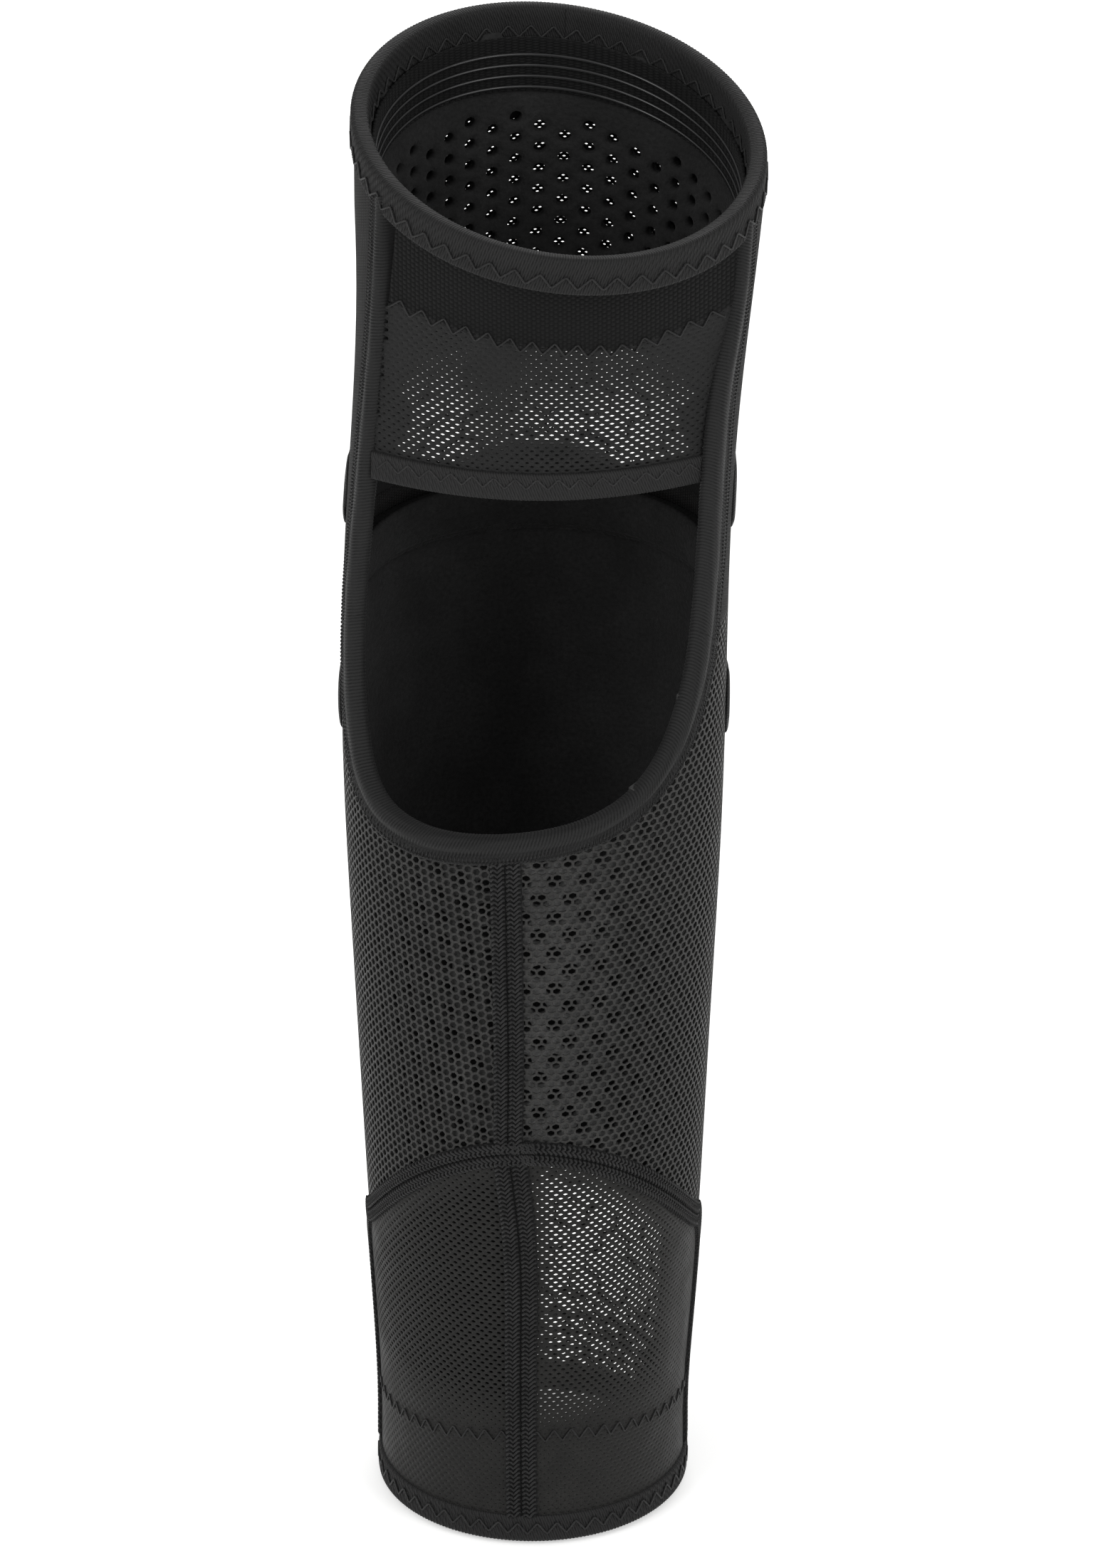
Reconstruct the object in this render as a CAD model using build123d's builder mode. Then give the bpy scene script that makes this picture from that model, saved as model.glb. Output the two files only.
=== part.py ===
"""A soft knee-and-shin guard: a fabric sleeve for the lower leg, open behind the knee.

Millimetres. +Z runs up the leg and -Y faces backwards, so +X is the right as seen from behind.
The origin is the centre of the bottom hem. The sleeve is in three bodies, the shin, the knee and
the thigh, which fold about one line at the back edges of the opening.
"""

from build123d import *
import math
import os

# The sleeve's outer face: height, half width, half depth, sideways place of the centre.
STATIONS = (
    (0, 50, 50, 0),
    (65, 50.5, 51, 0),
    (130, 54, 54, 0),
    (195, 57, 57.5, 0),
    (260, 59.3, 60, 0),
    (320, 59.2, 61, 1),
    (380, 59, 60.5, 4.5),
    (440, 61.8, 61, 7.8),
    (500, 61, 60.5, 8.5),
)
TOP = STATIONS[-1][0]
FAR = 100

# Layers, as depths below the outer face: where each starts and ends.
KNIT = (0, 1.2)
FOAM = (1.6, 4.3)
LINING = (4.6, 5.6)
GRIPPER = (1.5, 2.5)
SILICONE = (2.5, 3.1)
TOP_SILICONE = (5.6, 6.2)
BINDING = (-1, 4.3)
HEM = (-0.8, 2.8)
SEAM = (-0.9, -0.1)
PAD = (-11, -0.4)
SIDE_PAD = (-2.2, -0.4)
GAP = 0.4

# The top rim lies in a plane that rises to the front and to the left.
RIM_CENTRE = (8, 0, 461)
RIM_NORMAL = (0.12, -0.279, 1)
RIM_WIDTH = 11.5
GRIPPER_DEPTH = 27
SILICONE_WIDTH = 1.6
TOP_SILICONE_LEVELS = (16, 21, 26, 31)
BOTTOM_SILICONE_LEVELS = (16, 22, 28)

# Hem, cuff and the arch over the lower mesh.
HEM_HEIGHT = 9.5
CUFF_TOP = 36
ARCH_BASE = 60
ARCH_TOP = 138
ARCH_HALF_WIDTH = 56
ARCH_WIDTH = 7
FRONT_MESH_TOP = 84
WINDOW = (-4, 38)
WINDOW_HEIGHT = 78
WINDOW_CORNER = 16
CALF_FOAM_TOP = 238
SEAM_UPPER = (-10.6, -2.2)
SEAM_LOWER = (-8.4, 3)

# The knee's folding line, along X, and the wedge of sleeve that turns with the knee.
KNEE_Y = -36
KNEE_Z = 305
WEDGE_ANGLE = 20
WEDGE_SLOPE = math.tan(math.radians(WEDGE_ANGLE))
WING_BACK = -18

# The opening behind the knee, seen from behind: its edge, and the outer line of its binding.
EDGE = (
    (-41, TOP),
    (-44.5, 420),
    (-49.5, 365),
    (-54.5, 310),
    (-54, 278),
    (-49, 258),
    (-36, 251),
    (-10, 252),
    (20, 257.5),
    (38, 268.5),
    (48.5, 290),
    (53, 320),
    (56.5, 380),
    (63, 425),
    (66, TOP),
)
EDGE_BINDING = (
    (-45, TOP),
    (-48.5, 420),
    (-53, 365),
    (-57.7, 310),
    (-57.6, 268),
    (-52, 247.5),
    (-37, 240.8),
    (-10, 242.8),
    (24, 249.5),
    (44, 264),
    (54, 286),
    (58.2, 320),
    (61.3, 380),
    (66.5, 425),
    (69, TOP),
)

# The elastic band across the opening: left end, middle and right end of its outer face.
BAND_LOW = 366
BAND_HIGH = 431
BAND_FOOT = ((-46.5, -26), (3, -42), (50.5, -27))
BAND_HEAD = ((-36.5, -36.5), (8, -53.5), (57.5, -27))
BAND_THICKNESS = 1.6
BAND_BINDING_HEIGHT = 10
BAND_BINDING_THICKNESS = 3.2
YOKE_LOW = 409

# The front: pads by half width and height, and the vent over the knee.
SHIN_PADS = 4
SHIN_PAD_LOW = 92
SHIN_PAD_PITCH = 42
SHIN_PAD_HEIGHT = 38
SHIN_PAD_HALF_WIDTHS = (32, 35, 38, 40)
VENT_TOP = 372
CUP_HALF_WIDTH = 43
CUP_HALF_HEIGHT = 29
PAD_CORNER = 12
PAD_TAPER = 3.5
SIDE_PAD_SIZE = (50, 26)
SIDE_PAD_PLACE = (20, 39)

os.makedirs("parts", exist_ok=True)


def save(piece, name):
    """Labels a finished sub-part and writes it as one STEP file."""
    piece.part.label = name
    export_step(piece.part, f"parts/{name}.step")


def form(depth):
    """The whole sleeve as a solid, `depth` inside its outer face."""
    with BuildPart() as solid:
        for height, half_width, half_depth, lean in STATIONS:
            with BuildSketch(Plane.XY.offset(height)):
                with Locations(Location((lean, 0, 0), (0, 0, 90))):
                    Ellipse(half_depth - depth, half_width - depth)
        loft()
    return solid.part


def wall(layer):
    """The whole sleeve's wall between a layer's two depths."""
    outer, inner = layer
    with BuildPart() as shell:
        add(form(outer))
        add(form(inner), mode=Mode.SUBTRACT)
    return shell.part


def seen_from_behind(face, front=False):
    """A prism through the back half, or the front half, from a face drawn in X and Z."""
    with BuildPart() as prism:
        with BuildSketch(Plane.XZ):
            add(face)
        extrude(amount=-FAR if front else FAR)
    return prism.part


def seen_from_side(points):
    """A prism right through the sleeve along X, from an outline drawn in Y and Z."""
    with BuildPart() as prism:
        with BuildSketch(Plane.YZ):
            with BuildLine():
                Polyline(*points, close=True)
            make_face()
        extrude(amount=FAR, both=True)
    return prism.part


def box_face(left, right, low, high):
    """A rectangle by its four sides."""
    with BuildSketch() as face:
        with Locations(((left + right) / 2, (low + high) / 2)):
            Rectangle(right - left, high - low)
    return face.sketch


def opening_face(line):
    """The opening's face inside a line that runs down its left edge and up its right edge."""
    with BuildSketch() as face:
        with BuildLine():
            curve = Spline(*line)
            Line(curve @ 1, curve @ 0)
        make_face()
    return face.sketch


def arch_face(margin):
    """The face under the arch, moved out by a margin."""
    with BuildSketch() as face:
        with Locations((0, ARCH_BASE)):
            Ellipse(ARCH_HALF_WIDTH + margin, ARCH_TOP - ARCH_BASE + margin)
        with Locations((0, ARCH_BASE / 2)):
            Rectangle(2 * (ARCH_HALF_WIDTH + margin), ARCH_BASE)
    return face.sketch


def knee_line(y, side):
    """The height of the wedge's upper (side 1) or lower (side -1) face at depth y."""
    return KNEE_Z + side * (y - KNEE_Y) * WEDGE_SLOPE


def below_knee(low=0.0, back=-FAR, front=FAR):
    """The region of the shin: under the wedge, between two depths, above a height."""
    edge = max(back, KNEE_Y)
    points = [
        (back, low),
        (front, low),
        (front, knee_line(front, -1) - GAP),
        (edge, knee_line(edge, -1) - GAP),
    ]
    if back < KNEE_Y:
        points.append((back, KNEE_Z - GAP))
    return seen_from_side(points)


def above_knee(back=-FAR, front=FAR):
    """The region of the thigh: over the wedge, between two depths."""
    edge = max(back, KNEE_Y)
    points = [
        (back, TOP),
        (front, TOP),
        (front, knee_line(front, 1) + GAP),
        (edge, knee_line(edge, 1) + GAP),
    ]
    if back < KNEE_Y:
        points.append((back, KNEE_Z + GAP))
    return seen_from_side(points)


def at_knee(back):
    """The wedge that turns with the knee, in front of a depth."""
    return seen_from_side(
        [
            (back, knee_line(back, -1)),
            (FAR, knee_line(FAR, -1)),
            (FAR, knee_line(FAR, 1)),
            (back, knee_line(back, 1)),
        ]
    )


def rim_plane(down):
    """The rim's plane, moved down along its normal."""
    plane = Plane(origin=RIM_CENTRE, z_dir=RIM_NORMAL)
    return plane.offset(-down)


def panel(source, keep=(), cut=(), under_rim=None, over_rim=None):
    """What is left of a solid inside every `keep` region and outside every `cut` region."""
    with BuildPart() as piece:
        add(source)
        for region in keep:
            add(region, mode=Mode.INTERSECT)
        for region in cut:
            add(region, mode=Mode.SUBTRACT)
        if under_rim is not None:
            split(bisect_by=rim_plane(under_rim), keep=Keep.BOTTOM)
        if over_rim is not None:
            split(bisect_by=rim_plane(over_rim), keep=Keep.TOP)
    return piece


def strip_face(middle_line, thickness):
    """A strip of even thickness, seen from above, behind an arc through three points."""
    left, middle, right = middle_line
    with BuildSketch() as face:
        with BuildLine():
            outer = ThreePointArc(left, middle, right)
            inner = ThreePointArc(
                (left[0], left[1] + thickness),
                (middle[0], middle[1] + thickness),
                (right[0], right[1] + thickness),
            )
            Line(outer @ 0, inner @ 0)
            Line(outer @ 1, inner @ 1)
        make_face()
    return face.sketch


def band_line(height):
    """The band's outer face at a height: left end, middle and right end."""
    share = (height - BAND_LOW) / (BAND_HIGH - BAND_LOW)
    return tuple(
        tuple(a + (b - a) * share for a, b in zip(low, high))
        for low, high in zip(BAND_FOOT, BAND_HEAD)
    )


def band(low, high, thickness):
    """A stretch of the elastic band between two heights."""
    with BuildPart() as piece:
        for height in (low, high):
            with BuildSketch(Plane.XY.offset(height)):
                add(strip_face(band_line(height), thickness))
        loft()
    return piece


def pad(source, half_width, low, high):
    """A front pad: a bevelled block cut from the pads' layer."""
    with BuildPart() as piece:
        with BuildSketch(Plane.XZ):
            with Locations((0, (low + high) / 2)):
                RectangleRounded(2 * half_width, high - low, PAD_CORNER)
        extrude(amount=-FAR, taper=PAD_TAPER)
        add(source, mode=Mode.INTERSECT)
    return piece


def side_pad(source, side, level):
    """A small oval pad on one side, over or under the folding line."""
    y, rise = SIDE_PAD_PLACE
    length, height = SIDE_PAD_SIZE
    with BuildPart() as piece:
        with BuildSketch(Plane.YZ):
            with Locations(Location((y, KNEE_Z + level * rise, 0), (0, 0, level * WEDGE_ANGLE))):
                SlotOverall(length, height)
        extrude(amount=side * FAR)
        add(source, mode=Mode.INTERSECT)
    return piece


# Whole walls, which the panels are cut from.
knit_wall = wall(KNIT)
foam_wall = wall(FOAM)
lining_wall = wall(LINING)
binding_wall = wall(BINDING)
seam_wall = wall(SEAM)
pad_wall = wall(PAD)

# Regions that several panels share.
opening = seen_from_behind(opening_face(EDGE))
bound_opening = seen_from_behind(opening_face(EDGE_BINDING))
under_arch = seen_from_behind(arch_face(0))
under_arch_seam = seen_from_behind(arch_face(ARCH_WIDTH))
back_half = seen_from_behind(box_face(-FAR, FAR, 0, TOP))
front_half = seen_from_behind(box_face(-FAR, FAR, 0, TOP), front=True)
upper_left_back = seen_from_behind(box_face(-FAR, SEAM_UPPER[0] - GAP, HEM_HEIGHT + GAP, TOP))
upper_right_back = seen_from_behind(box_face(SEAM_UPPER[1] + GAP, FAR, HEM_HEIGHT + GAP, TOP))
lower_left_back = seen_from_behind(box_face(-FAR, SEAM_LOWER[0] - GAP, HEM_HEIGHT + GAP, TOP))
lower_right_back = seen_from_behind(box_face(SEAM_LOWER[1] + GAP, FAR, HEM_HEIGHT + GAP, TOP))

# Shin: hem and cuff.
hem_region = [(-FAR, 0), (FAR, 0), (FAR, HEM_HEIGHT), (-FAR, HEM_HEIGHT)]
save(panel(wall(HEM), [seen_from_side(hem_region)]), "bottom_binding")

cuff_region = [
    (-FAR, HEM_HEIGHT + GAP),
    (FAR, HEM_HEIGHT + GAP),
    (FAR, CUFF_TOP),
    (-FAR, CUFF_TOP),
]
save(panel(wall(GRIPPER), [seen_from_side(cuff_region)]), "bottom_gripper_band")

with BuildPart() as bottom_silicone:
    for level in BOTTOM_SILICONE_LEVELS:
        over = level + SILICONE_WIDTH
        ring = [(-FAR, level), (FAR, level), (FAR, over), (-FAR, over)]
        add(panel(wall(SILICONE), [seen_from_side(ring)]).part)
save(bottom_silicone, "bottom_silicone_lines")

# Shin: lower mesh behind and in front.
save(panel(knit_wall, [under_arch, lower_left_back]), "lower_mesh_left")
save(panel(knit_wall, [under_arch, lower_right_back]), "lower_mesh_right")
front_low = [
    (GAP, HEM_HEIGHT + GAP),
    (FAR, HEM_HEIGHT + GAP),
    (FAR, FRONT_MESH_TOP),
    (GAP, FRONT_MESH_TOP),
]
save(panel(knit_wall, [seen_from_side(front_low)]), "lower_mesh_front")

# Shin: a lining behind the front mesh, with an arched window on the right.
front_lining = [
    (GAP, CUFF_TOP + GAP),
    (FAR, CUFF_TOP + GAP),
    (FAR, FRONT_MESH_TOP),
    (GAP, FRONT_MESH_TOP),
]
with BuildSketch() as window:
    with Locations(((WINDOW[0] + WINDOW[1]) / 2, WINDOW_HEIGHT / 2)):
        Rectangle(WINDOW[1] - WINDOW[0], WINDOW_HEIGHT)
    fillet(window.vertices().group_by(Axis.Y)[-1], WINDOW_CORNER)
window_cut = seen_from_behind(window.sketch, front=True)
save(panel(wall(GRIPPER), [seen_from_side(front_lining)], [window_cut]), "lower_front_lining")

# Shin: calf panels of open mesh over perforated foam.
calf_region = below_knee(HEM_HEIGHT + GAP)
foam_outline = [(-FAR, 0), (FAR, 0), (FAR, CALF_FOAM_TOP), (-FAR, CALF_FOAM_TOP)]
foam_region = seen_from_side(foam_outline)
for side, region in (("left", upper_left_back), ("right", upper_right_back)):
    regions = [region, calf_region]
    save(panel(knit_wall, regions, [under_arch_seam, bound_opening]), f"calf_mesh_{side}")
    save(panel(foam_wall, [region, foam_region], [under_arch_seam]), f"calf_foam_{side}")

# Shin: the front and sides, with their foam and lining.
front_shin = below_knee(FRONT_MESH_TOP + GAP, GAP)
save(panel(knit_wall, [front_shin]), "shin_shell")
save(panel(foam_wall, [front_shin]), "shin_foam")
save(panel(lining_wall, [front_shin]), "shin_lining")

# Shin: raised seams down the middle of the back and along the arch.
seam_strip_upper = box_face(SEAM_UPPER[0], SEAM_UPPER[1], ARCH_TOP + ARCH_WIDTH / 2, TOP)
seam_strip_lower = box_face(SEAM_LOWER[0], SEAM_LOWER[1], HEM_HEIGHT + GAP, ARCH_TOP)
centre_wall = wall((SEAM[0], KNIT[1]))
save(
    panel(centre_wall, [seen_from_behind(seam_strip_upper), calf_region], [under_arch_seam, bound_opening]),
    "back_seam_upper",
)
save(panel(centre_wall, [seen_from_behind(seam_strip_lower), under_arch]), "back_seam_lower")
over_arch_base = seen_from_behind(box_face(-FAR, FAR, ARCH_BASE, TOP))
arch_sides = {
    "left": box_face(-FAR, -GAP / 2, 0, TOP),
    "right": box_face(GAP / 2, FAR, 0, TOP),
}
for side, face in arch_sides.items():
    arch_half = [under_arch_seam, seen_from_behind(face), over_arch_base]
    save(panel(centre_wall, arch_half, [under_arch]), f"arch_seam_{side}")

# The binding round the opening: the part below the knee line, and the two edges above it.
save(panel(binding_wall, [bound_opening, calf_region], [opening]), "opening_binding")
thigh_region = above_knee()
edge_sides = {"left": box_face(-FAR, 0, 0, TOP), "right": box_face(0, FAR, 0, TOP)}
for side, face in edge_sides.items():
    edge_regions = [bound_opening, thigh_region, seen_from_behind(face)]
    save(
        panel(binding_wall, edge_regions, [opening], under_rim=RIM_WIDTH + GAP),
        f"edge_binding_{side}",
    )

# Shin: pads.
for number in range(SHIN_PADS):
    low = SHIN_PAD_LOW + number * SHIN_PAD_PITCH
    segment = pad(pad_wall, SHIN_PAD_HALF_WIDTHS[number], low, low + SHIN_PAD_HEIGHT)
    save(segment, f"shin_pad_{number + 1}")

# Knee: shell, lining and cup.
wings = at_knee(WING_BACK)
save(panel(knit_wall, [wings], [bound_opening]), "knee_shell")
save(panel(lining_wall, [wings], [bound_opening]), "knee_lining")
with BuildPart() as knee_cup:
    with BuildSketch(Plane.XZ):
        with Locations((0, KNEE_Z)):
            Ellipse(CUP_HALF_WIDTH, CUP_HALF_HEIGHT)
    extrude(amount=-FAR, taper=PAD_TAPER)
    add(pad_wall, mode=Mode.INTERSECT)
save(knee_cup, "knee_cup")

# Thigh: an open vent over the knee, then the front and sides with their foam and lining.
over_vent = [(GAP, VENT_TOP + GAP), (FAR, VENT_TOP + GAP), (FAR, TOP), (GAP, TOP)]
front_thigh = seen_from_side(over_vent)
under_vent = [(GAP, KNEE_Z), (FAR, KNEE_Z), (FAR, VENT_TOP), (GAP, VENT_TOP)]
save(panel(knit_wall, [above_knee(GAP), seen_from_side(under_vent)]), "thigh_vent")
save(panel(knit_wall, [front_thigh], under_rim=RIM_WIDTH + GAP), "thigh_shell")
save(panel(foam_wall, [front_thigh], under_rim=RIM_WIDTH + GAP), "thigh_foam")
save(
    panel(lining_wall, [front_thigh], under_rim=RIM_WIDTH + GRIPPER_DEPTH + GAP),
    "thigh_lining",
)
save(
    panel(lining_wall, [front_half], under_rim=RIM_WIDTH + GAP, over_rim=RIM_WIDTH + GRIPPER_DEPTH),
    "top_gripper_band",
)
with BuildPart() as top_silicone:
    silicone_wall = wall(TOP_SILICONE)
    for level in TOP_SILICONE_LEVELS:
        add(panel(silicone_wall, [front_half], under_rim=level, over_rim=level + SILICONE_WIDTH).part)
save(top_silicone, "top_silicone_lines")
for side, face in edge_sides.items():
    regions = [back_half, above_knee(KNEE_Y), seen_from_behind(face)]
    save(panel(knit_wall, regions, [bound_opening], under_rim=RIM_WIDTH + GAP), f"thigh_side_{side}")
for side, sign in (("left", -1), ("right", 1)):
    save(side_pad(wall(SIDE_PAD), sign, 1), f"side_pad_{side}_upper")
    save(side_pad(wall(SIDE_PAD), sign, -1), f"side_pad_{side}_lower")

# Thigh: the rim's binding all round, and the elastic band behind with its own binding.
save(panel(binding_wall, under_rim=0, over_rim=RIM_WIDTH), "top_binding")
save(band(BAND_LOW + GAP, YOKE_LOW, BAND_THICKNESS), "band_mesh")
save(band(YOKE_LOW + GAP, BAND_HIGH, 2 * BAND_THICKNESS), "band_yoke")
save(
    band(BAND_LOW - BAND_BINDING_HEIGHT, BAND_LOW, BAND_BINDING_THICKNESS),
    "band_binding",
)
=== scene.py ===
import math

import bmesh
import bpy
import numpy as np
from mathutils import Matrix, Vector
from mathutils.bvhtree import BVHTree


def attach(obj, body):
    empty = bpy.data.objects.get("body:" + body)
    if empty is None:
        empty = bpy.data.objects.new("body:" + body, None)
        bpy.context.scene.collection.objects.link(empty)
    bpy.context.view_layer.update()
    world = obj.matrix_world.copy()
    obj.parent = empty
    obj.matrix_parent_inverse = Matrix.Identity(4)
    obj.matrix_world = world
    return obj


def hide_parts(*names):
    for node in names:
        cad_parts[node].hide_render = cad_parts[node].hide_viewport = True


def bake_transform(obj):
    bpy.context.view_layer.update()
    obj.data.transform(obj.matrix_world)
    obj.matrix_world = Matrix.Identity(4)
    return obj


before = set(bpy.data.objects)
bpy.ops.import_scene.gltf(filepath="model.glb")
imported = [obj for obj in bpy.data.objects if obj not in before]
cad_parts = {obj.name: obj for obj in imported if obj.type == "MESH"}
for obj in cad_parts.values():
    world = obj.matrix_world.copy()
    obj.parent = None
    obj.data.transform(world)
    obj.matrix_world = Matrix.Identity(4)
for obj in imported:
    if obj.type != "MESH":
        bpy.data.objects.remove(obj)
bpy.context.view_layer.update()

MM = 0.001

# ---- driving dimensions, in mm
# The sleeve is laid out flat as u, the way round from the middle of the back towards +X, and
# v, the height. RADIUS turns u into an angle.
RADIUS = 57.0
HALF_TURN = math.pi * RADIUS
QUARTER = HALF_TURN / 2
FRONT = 2 * QUARTER  # the u of the front's middle
FRONT_SCALE = 50  # half the width of the sleeve's lower front

LINED = (1.6, 5.6)  # how deep foam and lining together lie inside the outer face

# The opening's edge and the outer line of its binding, as (x, z) seen from behind.
EDGE = (
    (-41, 500), (-44.5, 420), (-49.5, 365), (-54.5, 310), (-54, 278), (-49, 258), (-36, 251), (-10, 252),
    (20, 257.5), (38, 268.5), (48.5, 290), (53, 320), (56.5, 380), (63, 425), (66, 500),
)
EDGE_BINDING = (
    (-45, 500), (-48.5, 420), (-53, 365), (-57.7, 310), (-57.6, 268), (-52, 247.5), (-37, 240.8), (-10, 242.8),
    (24, 249.5), (44, 264), (54, 286), (58.2, 320), (61.3, 380), (66.5, 425), (69, 500),
)

RIM_CENTRE = (8, 461)
RIM_SLOPE = (0.12, 0.279)
RIM_WIDTH = 11.5
GRIPPER_DEPTH = 27
TOP_SILICONE = (15, 18.5, 22, 25.5)  # below the rim

HEM_HEIGHT = 9.5
BOTTOM_SILICONE = (16.8, 22.8, 28.8)
CUFF_TOP = 36
ARCH_BASE = 60
ARCH_TOP = 138
ARCH_HALF_WIDTH = 56
ARCH_SCALE = 54.0  # half the sleeve's width at the arch
ARCH_WIDTH = 7
FRONT_MESH_TOP = 84
WINDOW = (-8, 46)
WINDOW_HEIGHT = 84
WINDOW_CORNER = 16
CALF_LOW = ARCH_BASE + 20
SEAM_UPPER = (-10.6, -2.2)
SEAM_LOWER = (-8.4, 3)

KNEE_Z = 305
DART = FRONT + 15
DART_WIDTH = 4.0
DART_LOW = 262
DART_RISE = 30
VENT_LOW = 322
VENT_TOP = 370
VENT_HALF_WIDTH = 50
THIGH_TOP = 474
SIDE_TOPS = {"left": 452, "right": 440}

BAND_LOW = 366
BAND_LEFT = ((356, -49.5), (446, -39))
BAND_RIGHT = ((356, 55), (446, 65))
YOKE_LINE = ((-48, 418.5), (-39, 417), (-3, 411), (28, 408), (57, 413), (66, 415))

PAD_LOW = 92
PAD_PITCH = 42
PAD_HEIGHT = 38
PAD_HALF_WIDTHS = (32, 35, 38, 40)
PAD_RADIUS = 62

# Open cloths: a cell's width and the height of a row, then a round hole's width and height, or
# the share of its cell that a net leaves open.
FINE_NETS = {"left": (3.1, 1.45, (1.7, 1.0)), "right": (3.1, 1.45, (1.65, 0.95))}
FRONT_NET = (12.0, 8.2, 0.94)
CALF_NET = (3.1, 2.2, 0.74)
CALF_FOAM = (10.0, 6.3, (5.6, 5.6))
CUFF_NET = (8.0, 5.4, 0.93)
VENT_NET = (13.0, 8.8, 0.94)
THIGH_KNIT = (2.1, 1.05, (1.05, 0.7))
THIGH_FOAM = (7.0, 7.6, (4.1, 4.1))
BAND_NET = (3.0, 1.4, (1.45, 0.86))

# A tape folded over an edge: share of its width, height over the cloth in mm.
TAPE_PROFILE = (
    (1.0, 0.2), (0.985, 0.75), (0.93, 1.0), (0.8, 0.9), (0.65, 0.82), (0.5, 0.85), (0.35, 0.95), (0.2, 1.05),
    (0.1, 1.0), (0.03, 0.6), (0.0, -0.2), (0.0, -1.6), (0.03, -2.5), (0.1, -3.0), (0.3, -3.1), (0.55, -3.1),
    (0.8, -3.1), (0.95, -3.1), (1.0, -2.7), (1.0, -1.2),
)
RIM_TAPE = [(s, h - 1.3 if h < -2 else h) for s, h in TAPE_PROFILE]
BAND_TAPE = [(s, h + 0.4 if h > -2 else h + 0.9) for s, h in TAPE_PROFILE]
# The opening's roll: a full round edge, a groove, then a flat stitched tape.
ROLL_PROFILE = (
    (1.0, 0.0), (0.99, 0.5), (0.95, 0.75), (0.86, 0.8), (0.76, 0.8), (0.66, 0.8), (0.6, 0.55), (0.55, 0.75),
    (0.47, 1.25), (0.35, 1.55), (0.22, 1.5), (0.1, 1.0), (0.03, 0.1), (0.0, -1.2), (0.0, -2.6), (0.04, -3.8),
    (0.14, -4.6), (0.3, -4.9), (0.55, -4.8), (0.8, -4.6), (0.97, -4.2), (1.0, -3.4), (1.0, -1.6),
)


# ---- the sleeve, read from the CAD
def tree_of(names):
    """One search tree over several CAD nodes."""
    verts = []
    faces = []
    for name in names:
        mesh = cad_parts[name].data
        base = len(verts)
        verts += [v.co.copy() for v in mesh.vertices]
        faces += [[base + i for i in p.vertices] for p in mesh.polygons]
    return BVHTree.FromPolygons(verts, faces)


def measure_sleeve():
    """Half width, half depth and sideways place of the outer face at each height, in mm."""
    tree = tree_of(["lower_mesh_front", "shin_shell", "knee_shell", "thigh_vent", "thigh_shell"])
    heights = np.arange(14.0, 440.0, 9.0)
    rows = []
    for height in heights:
        left, right, front = [], [], []
        for nudge in (-1.5, 0.0, 1.5):
            z = (height + nudge) * MM
            left.append(tree.ray_cast(Vector((-1, MM, z)), Vector((1, 0, 0)))[0])
            right.append(tree.ray_cast(Vector((1, MM, z)), Vector((-1, 0, 0)))[0])
            front.append(tree.ray_cast(Vector((4 * MM, 1, z)), Vector((0, -1, 0)))[0])
        low = min(p.x for p in left if p) / MM
        high = max(p.x for p in right if p) / MM
        deep = max(p.y for p in front if p) / MM
        rows.append(((high - low) / 2, deep, (high + low) / 2))
    table = np.array(rows)
    for _ in range(2):
        table[1:-1] = (table[:-2] + 2 * table[1:-1] + table[2:]) / 4
    return heights, table


HEIGHTS, SECTIONS = measure_sleeve()


def section(v):
    """Half width, half depth and lean at a height."""
    return [np.interp(v, HEIGHTS, SECTIONS[:, k]) for k in range(3)]


def sleeve(u, v, depth=0.0):
    """Points in metres on the sleeve, `depth` mm inside its outer face."""
    half_width, half_depth, lean = section(v)
    angle = np.asarray(u) / RADIUS
    x = lean + (half_width - depth) * np.sin(angle)
    y = -(half_depth - depth) * np.cos(angle)
    return np.stack((x, y, np.asarray(v) + 0 * x), -1) * MM


def around(x, v):
    """The u of a place on the back of the sleeve that is seen at x."""
    half_width, _, lean = section(v)
    return np.arcsin(np.clip((x - lean) / half_width, -0.999, 0.999)) * RADIUS


def sleeve_out(u, v):
    """The sleeve's outward direction."""
    half_width, half_depth, _ = section(v)
    angle = np.asarray(u) / RADIUS
    out = np.stack((np.sin(angle) * half_depth, -np.cos(angle) * half_width, 0 * angle), -1)
    return out / np.linalg.norm(out, axis=-1, keepdims=True)


def rim_height(u):
    """The height of the slanted rim at u."""
    place = sleeve(u, RIM_CENTRE[1] + 0 * np.asarray(u)) / MM
    return RIM_CENTRE[1] - RIM_SLOPE[0] * (place[..., 0] - RIM_CENTRE[0]) + RIM_SLOPE[1] * place[..., 1]


def even_line(points, step):
    """A smooth line through points, at even steps."""
    p = np.array(points, float)
    p = np.vstack((2 * p[0] - p[1], p, 2 * p[-1] - p[-2]))
    t = np.linspace(0, 1, 40, endpoint=False)[:, None]
    parts = []
    for a, b, c, d in zip(p[:-3], p[1:-2], p[2:-1], p[3:]):
        parts.append(
            0.5 * (2 * b + (c - a) * t + (2 * a - 5 * b + 4 * c - d) * t**2 + (3 * b - a - 3 * c + d) * t**3)
        )
    dense = np.vstack(parts + [p[-2][None]])
    length = np.concatenate(([0], np.cumsum(np.linalg.norm(np.diff(dense, axis=0), axis=1))))
    at = np.linspace(0, length[-1], max(2, int(round(length[-1] / step)) + 1))
    return np.stack([np.interp(at, length, dense[:, k]) for k in range(dense.shape[1])], -1)


def inside_line(x, z, line):
    """Whether each (x, z) is inside a closed line."""
    inside = np.zeros(np.shape(x), bool)
    for (x0, z0), (x1, z1) in zip(line, np.roll(line, -1, axis=0)):
        if z0 == z1:
            continue
        crosses = (z0 > z) != (z1 > z)
        inside ^= crosses & (x < (x1 - x0) * (z - z0) / (z1 - z0) + x0)
    return inside


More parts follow.
